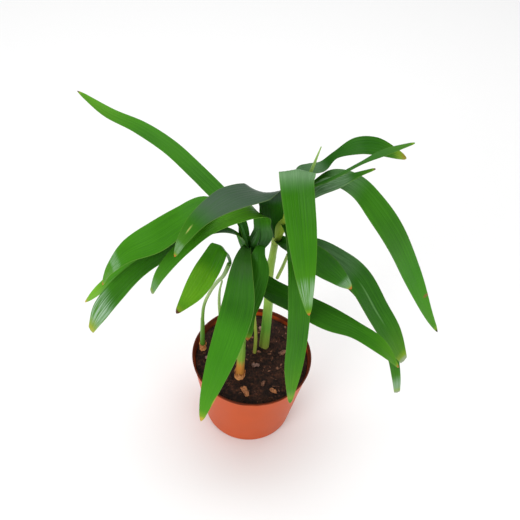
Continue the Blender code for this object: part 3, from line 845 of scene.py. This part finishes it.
class PALM_OT_add_soil(bpy.types.Operator):
    """Add the peat: one lumpy plug, with loose crumbs, bark bits and fibres on top"""
    bl_idname = "palm.add_soil"
    bl_label = "Peat"

    def execute(self, context):
        soil = context.scene.palm_soil
        self.add_plug(context, soil)
        draw = random.Random(soil.seed)
        bark = bark_material("broken_bark", "4a2a1c", soil.bark)
        self.scatter(context, draw, "peat_crumbs", soil.crumbs, soil.crumb, 0.75,
                     peat_material("dry_peat_crumbs", soil, 0.8), "peat")
        self.scatter(context, draw, "bark_bits", soil.fragments, 1.5 * soil.crumb, 0.45, bark, "bark")
        self.add_fibres(draw, soil, bark)
        return {"FINISHED"}

    def add_plug(self, context, soil):
        """The peat itself, its top cut into narrow rings and made lumpy."""
        radius, level = SOIL_HIGH.x, SOIL_HIGH.z
        depth = level - SOIL_LOW.z
        start_piece()
        bpy.ops.mesh.primitive_cylinder_add(vertices=128, radius=radius, depth=depth,
                                            location=(0, 0, SOIL_LOW.z + depth / 2))
        piece = context.object
        piece.name = "peat"
        settle(piece)
        set_mode("EDIT")
        pick(piece, "FACE", looks_up)
        for _ in range(PEAT_RINGS):
            bpy.ops.mesh.inset(thickness=PEAT_RING * MM)
        set_mode("OBJECT")
        foot_share = (context.scene.palm_pot.base_radius - 2.5 * MM) / radius
        for vertex in piece.data.vertices:
            x, y, z = vertex.co
            if z > level - 0.1 * MM:
                # a little lower along the wall, and with hardly a lump there
                from_wall = radius - hypot(x, y)
                sunk = 0.8 * MM * (1 - smoothstep(0, 4 * MM, from_wall))
                vertex.co.z = level - sunk + peat_height(x, y, soil.lumps) * smoothstep(
                    -1 * MM, 3 * MM, from_wall)
            else:
                vertex.co.x *= foot_share
                vertex.co.y *= foot_share
        finish_piece(piece, 60, [peat_material("moist_peat", soil, 0.42)], "peat", "soil")

    def spot(self, draw, margin):
        """A place on the peat, clear of the wall, in metres."""
        distance = (SOIL_HIGH.x - margin) * sqrt(draw.random())
        angle = draw.uniform(0, 2 * pi)
        x, y = distance * cos(angle), distance * sin(angle)
        lumps = bpy.context.scene.palm_soil.lumps
        return Vector((x, y, SOIL_HIGH.z + peat_height(x, y, lumps)))

    def scatter(self, context, draw, name, count, size, flatness, material, slot):
        """Copies of a few rough lumps, each turned and sized at random, made one piece."""
        lumps = []
        for k in range(LUMP_SHAPES):
            start_piece()
            bpy.ops.mesh.primitive_ico_sphere_add(subdivisions=1, radius=0.5)
            lump = context.object
            for vertex in lump.data.vertices:
                vertex.co *= 1 + 0.5 * noise.noise(vertex.co * 2.3 + Vector((5 * k, 1, 3)))
            lumps.append(lump)
        copies = []
        for k in range(count):
            scale = size * (0.3 + 0.7 * draw.random() ** 2)
            shape = Vector((scale * draw.uniform(0.9, 1.6), scale * draw.uniform(0.6, 1),
                            scale * flatness * draw.uniform(0.5, 1)))
            turn = Matrix.Rotation(draw.uniform(0, 2 * pi), 4, "Z") @ Matrix.Rotation(
                draw.uniform(-0.5, 0.5), 4, "X")
            copy = bpy.data.objects.new(f"{name}_{k}", lumps[k % LUMP_SHAPES].data.copy())
            copy.data.transform(Matrix.Translation(self.spot(draw, 1.6 * MM)) @ turn
                                @ Matrix.Diagonal((*shape, 1)))
            context.scene.collection.objects.link(copy)
            copies.append(copy)
        for lump in lumps:
            bpy.data.objects.remove(lump)
        finish_piece(joined(name, copies), 35, [material], slot)

    def add_fibres(self, draw, soil, material):
        """Loose peat and coir fibres: short thin bent tubes lying on the crumbs."""
        tubes = []
        for k in range(soil.fibres):
            start = self.spot(draw, 6 * MM) / MM
            heading, bend = draw.uniform(0, 2 * pi), draw.uniform(-0.5, 0.5)
            length = draw.uniform(2.5, 7)
            path = [start + Vector((cos(heading + bend * t), sin(heading + bend * t), 0)) * length * t
                    + Vector((0, 0, 0.5 + draw.uniform(0, 0.6))) for t in (0, 0.5, 1)]
            if any(hypot(p.x, p.y) > SOIL_HIGH.x / MM - 1.5 for p in path):
                continue
            thick = draw.uniform(0.1, 0.22)
            tubes.append(laid_tube(f"fibre_{k}", path, lambda along, angle: thick, FIBRE_GRID))
        finish_piece(joined("loose_fibres", tubes), 50, [material], "bark")


class PALM_OT_add_chips(bpy.types.Operator):
    """Add the bark chips that lie on the peat, each a rough split flake"""
    bl_idname = "palm.add_chips"
    bl_label = "Bark chips"

    def execute(self, context):
        looks = (("brown", "3a1f14", context.scene.palm_soil.bark), ("tan", "6a3f26", "bc7848"),
                 ("grey", "4a3028", "8f6c60"))
        materials = [bark_material("split_bark_" + name, dark, light) for name, dark, light in looks]
        for k, chip in enumerate(CHIPS):
            start_piece()
            bpy.ops.mesh.primitive_cube_add(size=1)
            piece = context.object
            piece.name = f"chip_{k + 1}"
            set_mode("EDIT")
            bpy.ops.mesh.subdivide(number_cuts=4)
            set_mode("OBJECT")
            for vertex in piece.data.vertices:
                x, y, z = vertex.co
                taper = 1 - 0.45 * (x + 0.5) - 0.3 * abs(2 * x) ** 4
                ragged = 0.3 * noise.noise(Vector((x * 4, y * 3, z * 2 + 7 * k)))
                vertex.co = Vector((x + 0.25 * noise.noise(Vector((y * 6, z * 3, 2 * k))),
                                    y * taper + ragged, z * (0.6 + 0.4 * taper) + 0.7 * ragged))
            piece.scale = Vector((chip.length, chip.width, CHIP_HEIGHT)) * MM
            piece.rotation_euler.z = radians(chip.turn)
            piece.location = Vector((chip.x, chip.y, SOIL_HIGH.z / MM + GAP + CHIP_HEIGHT / 2)) * MM
            settle(piece)
            finish_piece(piece, 30, [materials[(k + 1) % 3]], "bark", f"bark_chip_{k + 1}")
        return {"FINISHED"}


def add_axes(kind, look, grid, material, ribs):
    """Adds a tube for each axis of a kind, stepped where a sheath ends, and finely fluted."""
    for name, axis in AXES.items():
        if not name.startswith(kind):
            continue

        def radius_at(along, angle):
            radius = blend_list(axis.radii, along)
            for place, step in axis.scars:
                slanted = place + SCAR_SLANT * cos(angle + 9 * place)
                radius += step * (0.5 - smoothstep(slanted, slanted + SCAR_WIDTH, along)) * 0.6
            return radius * (1 + FLUTE_DEPTH * cos(FLUTES * angle))

        piece = laid_tube(name.replace(kind, look), axis.path, radius_at, grid, axis.spread)
        finish_piece(piece, 50, [sheath_material(material + name, axis.tones, ribs)], axis.slot, name)


class PALM_OT_add_stems(bpy.types.Operator):
    """Add the seedlings' stems, each wrapped in the sheaths of its leaves"""
    bl_idname = "palm.add_stems"
    bl_label = "Stems"

    def execute(self, context):
        add_axes("stem", "sheathed_stem", STEM_GRID, "living_sheath_", 9)
        return {"FINISHED"}


class PALM_OT_add_leaf_axes(bpy.types.Operator):
    """Add the leaf axes, from the last sheath up to where the lobes part"""
    bl_idname = "palm.add_leaf_axes"
    bl_label = "Leaf axes"

    def execute(self, context):
        add_axes("rachis", "leaf_axis", AXIS_GRID, "living_axis_", 7)
        return {"FINISHED"}


class PALM_OT_add_lobes(bpy.types.Operator):
    """Add the leaf lobes: thin pleated blades on their midribs, narrow at the foot"""
    bl_idname = "palm.add_lobes"
    bl_label = "Leaf lobes"

    def execute(self, context):
        leaf = context.scene.palm_leaf
        for number, (name, lobe) in enumerate(LOBES.items()):
            self.add_lobe(number, name, lobe, leaf)
        return {"FINISHED"}

    def add_lobe(self, number, name, lobe, leaf):
        stations = spline_points(lobe_stations(lobe), LOBE_ROWS)
        points = [station.xyz for station in stations]
        shares = shares_of(points)
        widest = max(station.w for station in stations)
        ribs = max(2, round(widest / (leaf.rib / MM)))
        sections = self.sections(lobe, stations, points, shares)

        def place(along, across):
            row = round(along * LOBE_ROWS)
            side, up, half = sections[row]
            share = shares[row]
            offset = 2 * across - 1
            # the two halves rise from the midrib, where they meet in a small round
            crease = sqrt(offset ** 2 + CREASE_ROUND ** 2) - CREASE_ROUND
            rise = crease * half * tan(radians(blend_list(lobe.fold, share)))
            pleat = leaf.pleat / MM * cos(2 * pi * ribs * across) * min(1, 2 * half / widest)
            phase = 5.1 * number + (1.7 if offset > 0 else 0)
            ruffle = (lobe.wave * abs(offset) ** 3 * sin(2 * pi * RUFFLES * share + phase)
                      * min(1, half / 5) * smoothstep(0.1, 0.3, share))
            return points[row] - side * offset * half + up * (rise + pleat + ruffle)

        piece = laid_grid("blade_" + name, LOBE_ROWS, COLUMNS_PER_RIB * ribs, place)
        thicken(piece, leaf.thickness, offset=0, material_offset=1, use_quality_normals=True)
        looks = lobe, ZONES.get(name, ()), MARKS.get(name), ribs, leaf
        materials = [blade_material("waxy_palm_leaf_" + name, *looks),
                     blade_material("matt_leaf_underside_" + name, *looks, upper=False)]
        finish_piece(piece, 60, materials, "leaf_blade", "leaflet_" + name)

    def sections(self, lobe, stations, points, shares):
        """The side and up directions and the half width at each row, rounded off at the tip."""
        reach = points[-1] - points[0]
        level = Vector((reach.y, -reach.x, 0)).normalized()
        tip_share = BLUNT_TIP if lobe.blunt else POINTED_TIP
        sections = []
        for k, station in enumerate(stations):
            along = (points[min(k + 1, LOBE_ROWS)] - points[max(k - 1, 0)]).normalized()
            side = (level - along * level.dot(along)).normalized()
            roll = Matrix.Rotation(-radians(blend_list(lobe.roll, k / LOBE_ROWS)), 3, along)
            closing = max(0, (shares[k] - 1 + tip_share) / tip_share)
            half = station.w / 2 * sqrt(max(1 - closing ** 2, 0.01))
            sections.append((roll @ side, roll @ side.cross(along), half))
        return sections


class PALM_OT_add_spear(bpy.types.Operator):
    """Add the youngest leaf, still rolled into a spear"""
    bl_idname = "palm.add_spear"
    bl_label = "Spear leaf"

    def execute(self, context):
        def rolled(along, angle):
            """One edge of the rolled blade laps over the other in a long spiral seam."""
            seam = (angle / (2 * pi) + 0.35 * along) % 1
            return blend_list(SPEAR_RADII, along) * (0.85 + 0.25 * seam)

        piece = laid_tube("rolled_spear", SPEAR_PATH, rolled, SPEAR_GRID)
        finish_piece(piece, 50, [sheath_material("young_rolled_leaf", SPEAR_TONES, 5)], "young_leaf",
                     "spear_leaf")
        return {"FINISHED"}


class PALM_OT_add_husks(bpy.types.Operator):
    """Add the dry torn husks round the feet of two stems"""
    bl_idname = "palm.add_husks"
    bl_label = "Dry husks"

    def execute(self, context):
        for number, (name, stem) in enumerate(HUSKS.items()):
            x, y, _ = AXES[stem].path[0]
            inner = AXES[stem].radii[0] + GAP

            def place(along, across):
                angle = 2 * pi * across
                c, s = cos(angle), sin(angle)
                torn = HUSK_TEAR * noise.noise(Vector((3 * c, 3 * s, 4 * number)))
                loose = 0.45 * noise.noise(Vector((2 * c, 2 * s, 3 * along)))
                flare = max(0.1 + 0.5 * (1 - along) ** 3 + loose, 0.02) + 0.6 * along ** 6
                return Vector((x + (inner + flare) * c, y + (inner + flare) * s,
                               SOIL_HIGH.z / MM + along * (HUSK_HEIGHT + torn)))

            piece = laid_grid(f"torn_{name}", *HUSK_GRID, place)
            close_round(piece, ends=False)
            thicken(piece, HUSK_WALL * MM, offset=1)
            husk = bark_material(f"dry_seed_husk_{number + 1}", "b0622c", "e8a868")
            finish_piece(piece, 50, [husk], "dry_husk", name)
        return {"FINISHED"}


class PALM_OT_set_stage(bpy.types.Operator):
    """Set the pale floor, the soft lights and the camera"""
    bl_idname = "palm.set_stage"
    bl_label = "Stage"

    def execute(self, context):
        stage = context.scene.palm_stage
        start_piece()
        bpy.ops.mesh.primitive_plane_add(size=stage.floor_size)
        floor = context.object
        floor.name = "pale_floor"
        paper, node = new_material("white_paper_sweep")
        node("surface", node("shader", Base_Color="f2f2f2", Roughness=0.7))
        floor.data.materials.append(paper)
        # name, place, width, height and power of each softbox, all turned to the plant's middle
        for name, place, width, height, power in (
                ("overhead", (0, 0.35, 1.5), 2.0, 1.4, stage.overhead),
                ("key", (-0.9, -1.2, 0.9), 0.8, 0.8, stage.key),
                ("fill", (1.2, -0.9, 0.6), 0.8, 0.6, stage.fill)):
            turn = (Vector((0, 0, 0.2)) - Vector(place)).to_track_quat("-Z", "Y").to_euler()
            start_piece()
            bpy.ops.object.light_add(type="AREA", location=place, rotation=turn)
            light = context.object
            light.name = name + "_softbox"
            light.data.shape = "RECTANGLE"
            light.data.size, light.data.size_y = width, height
            light.data.energy = power
        world = bpy.data.worlds.new("bright_room")
        world.use_nodes = True
        room = world.node_tree.nodes["Background"]
        room.inputs["Color"].default_value = to_linear("ffffff")
        room.inputs["Strength"].default_value = stage.ambient
        context.scene.world = world
        context.scene.view_settings.view_transform = "Standard"
        turn = Matrix.Rotation(pi / 2 - stage.pitch, 3, "X") @ Matrix.Rotation(stage.roll, 3, "Z")
        start_piece()
        bpy.ops.object.camera_add(location=CAMERA_PLACE, rotation=turn.to_euler())
        camera = context.object
        camera.data.lens = stage.focal
        camera.data.sensor_width = 36
        camera.data.clip_start = 0.01
        context.scene.camera = camera
        return {"FINISHED"}


class PALM_PT_panel(bpy.types.Panel):
    """The palm's steps and settings"""
    bl_label = "Potted palm"
    bl_idname = "PALM_PT_panel"
    bl_space_type = "VIEW_3D"
    bl_region_type = "UI"
    bl_category = "Palm"

    def draw(self, context):
        for operator in OPERATORS:
            self.layout.operator(operator.bl_idname)
        for name in SETTINGS:
            group = getattr(context.scene, name)
            box = self.layout.box()
            for key in group.__annotations__:
                box.prop(group, key)


SETTINGS = {"palm_pot": PotSettings, "palm_soil": SoilSettings, "palm_leaf": LeafSettings,
            "palm_stage": StageSettings}
OPERATORS = (PALM_OT_add_pot, PALM_OT_add_soil, PALM_OT_add_chips, PALM_OT_add_stems,
             PALM_OT_add_leaf_axes, PALM_OT_add_lobes, PALM_OT_add_spear, PALM_OT_add_husks,
             PALM_OT_set_stage)
CLASSES = (*SETTINGS.values(), *OPERATORS, PALM_PT_panel)


def register():
    for cls in CLASSES:
        bpy.utils.register_class(cls)
    for name, group in SETTINGS.items():
        setattr(bpy.types.Scene, name, PointerProperty(type=group))


def unregister():
    for name in SETTINGS:
        delattr(bpy.types.Scene, name)
    for cls in reversed(CLASSES):
        bpy.utils.unregister_class(cls)


def main():
    register()
    bpy.ops.palm.add_pot()
    bpy.ops.palm.add_soil()
    bpy.ops.palm.add_chips()
    bpy.ops.palm.add_stems()
    bpy.ops.palm.add_leaf_axes()
    bpy.ops.palm.add_lobes()
    bpy.ops.palm.add_spear()
    bpy.ops.palm.add_husks()
    bpy.ops.palm.set_stage()


if __name__ == "__main__":
    main()
